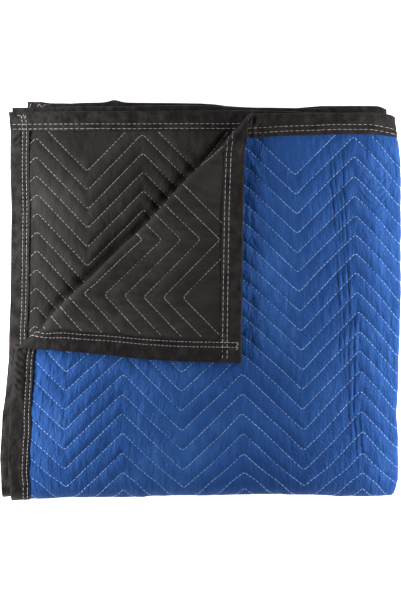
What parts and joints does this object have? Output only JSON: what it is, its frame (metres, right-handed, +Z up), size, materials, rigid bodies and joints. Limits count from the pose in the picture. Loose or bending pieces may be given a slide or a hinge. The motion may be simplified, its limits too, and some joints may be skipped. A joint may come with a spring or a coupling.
{
  "type": "quilted moving blanket, folded",
  "caption": "Quilted moving blanket with a blue face, black back and bound edges, folded to a flat square pack with one corner turned back.",
  "frame": {"origin": "under the middle of the folded pack, on the surface that it rests on", "axes": "+Z up out of the pack, +X towards the single fold that all plies share, +Y towards the blanket's two ends"},
  "size_m": [0.5101, 0.5095, 0.0528],
  "materials": {
    "face_cloth": "matt woven polyester, quilted in zigzags",
    "back_cloth": "matt non-woven felt, quilted in zigzags",
    "binding_tape": "matt tape, twice stitched"
  },
  "bodies": {
    "root": {"face_panel": "face_cloth", "back_panel": "back_cloth", "side_binding_a": "binding_tape", "side_binding_b": "binding_tape", "end_binding_1": "binding_tape", "end_binding_2": "binding_tape"}
  },
  "joints": []
}
